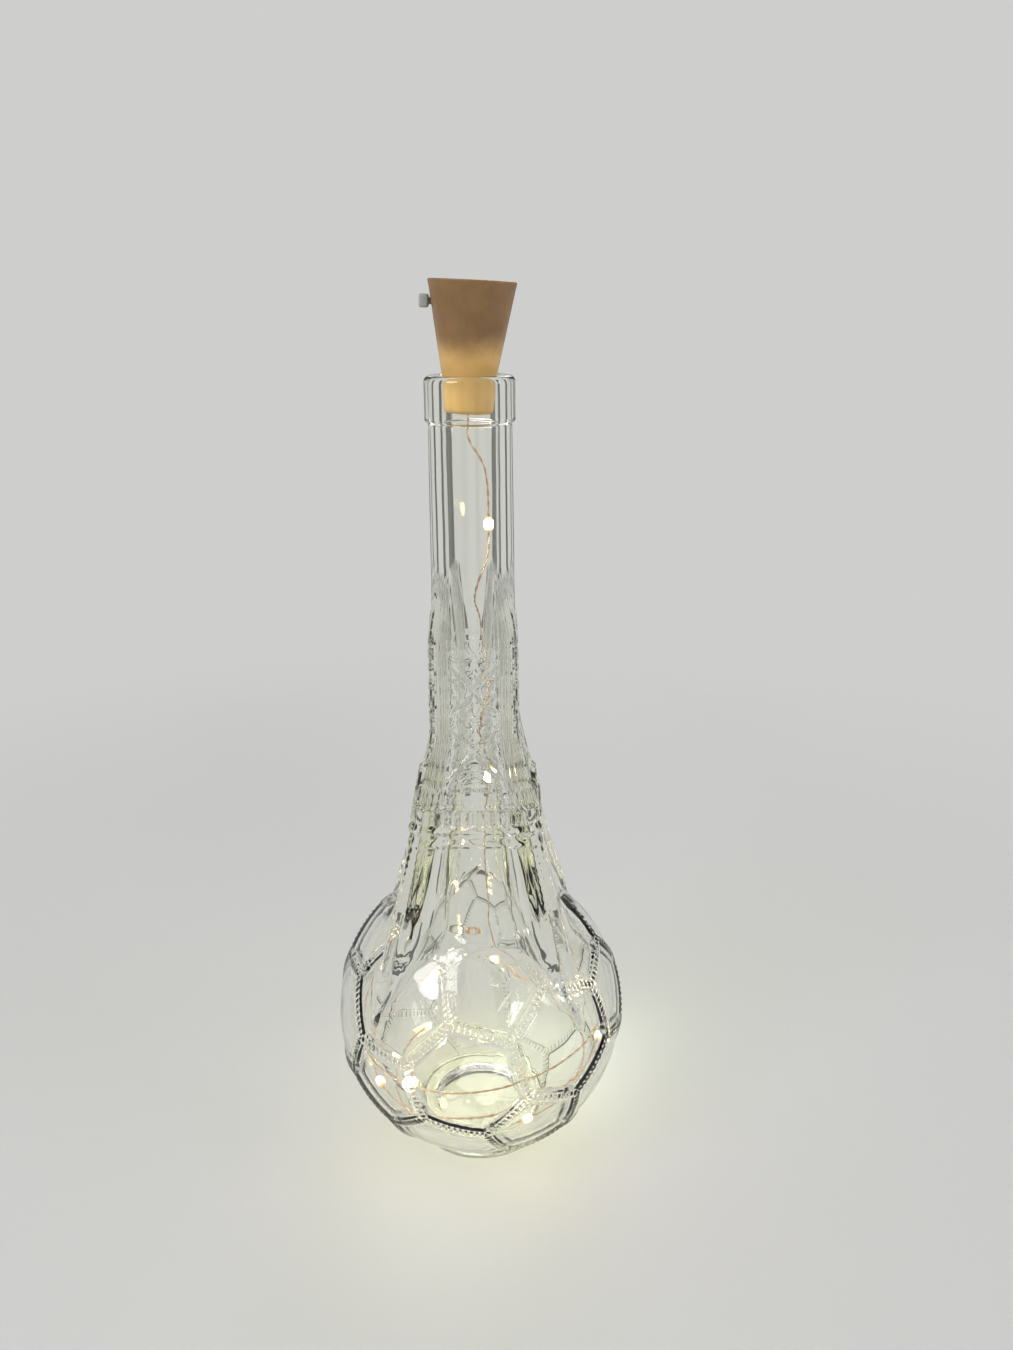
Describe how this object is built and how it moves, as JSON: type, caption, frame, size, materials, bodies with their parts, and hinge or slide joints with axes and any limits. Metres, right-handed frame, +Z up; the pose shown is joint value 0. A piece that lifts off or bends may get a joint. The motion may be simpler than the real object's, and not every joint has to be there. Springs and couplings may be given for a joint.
{
  "type": "bottle light",
  "caption": "Clear glass bottle with a football-like ball, a moulded lattice tower and a round neck, lit by a drop-light string on a switched battery stopper.",
  "frame": {"origin": "middle of the foot's underside, on the surface that the bottle stands on", "axes": "+Z up the bottle towards the mouth, front towards -Y, switch towards -X"},
  "size_m": [0.1056, 0.1042, 0.3066],
  "materials": {
    "clear_glass": "fire polished, very slightly green",
    "cork_plastic": "translucent moulded plastic coloured like cork",
    "grey_plastic": "translucent moulded",
    "black_plastic": "moulded",
    "steel": "nickel plated",
    "brass": "stamped strip",
    "wire": "enamelled twin wire",
    "led_drop": "clear resin drop, lit warm white"
  },
  "bodies": {
    "bottle": {"glass_bottle": "clear_glass", "wire_coil": "wire", "led_02": "led_drop", "led_03": "led_drop", "led_04": "led_drop", "led_05": "led_drop", "led_06": "led_drop", "led_07": "led_drop", "led_08": "led_drop", "led_09": "led_drop", "led_10": "led_drop"},
    "stopper": {"stopper_shell": "cork_plastic", "battery_holder": "black_plastic", "button_cell_1": "steel", "button_cell_2": "steel", "button_cell_3": "steel", "spring_contact": "steel", "top_contact": "brass", "switch_housing": "steel", "switch_terminal_1": "brass", "switch_terminal_2": "brass", "switch_terminal_3": "brass", "wire_grommet": "black_plastic", "inner_lead": "wire", "wire_lead": "wire", "wire_drop": "wire", "led_01": "led_drop"},
    "battery_lid": {"battery_lid": "cork_plastic"},
    "switch_knob": {"switch_knob": "grey_plastic"}
  },
  "joints": [
    {"name": "stopper_lift", "type": "slide", "parent": "bottle", "child": "stopper", "axis": [0.0523, 0, 0.9986], "range_m": [0, 0.024], "deforming": ["wire_drop"]},
    {"name": "lid_lift", "type": "slide", "parent": "stopper", "child": "battery_lid", "axis": [0.0523, 0, 0.9986], "range_m": [0, 0.012]},
    {"name": "switch_slide", "type": "slide", "parent": "stopper", "child": "switch_knob", "axis": [0.0523, 0, 0.9986], "range_m": [-0.002, 0]}
  ]
}
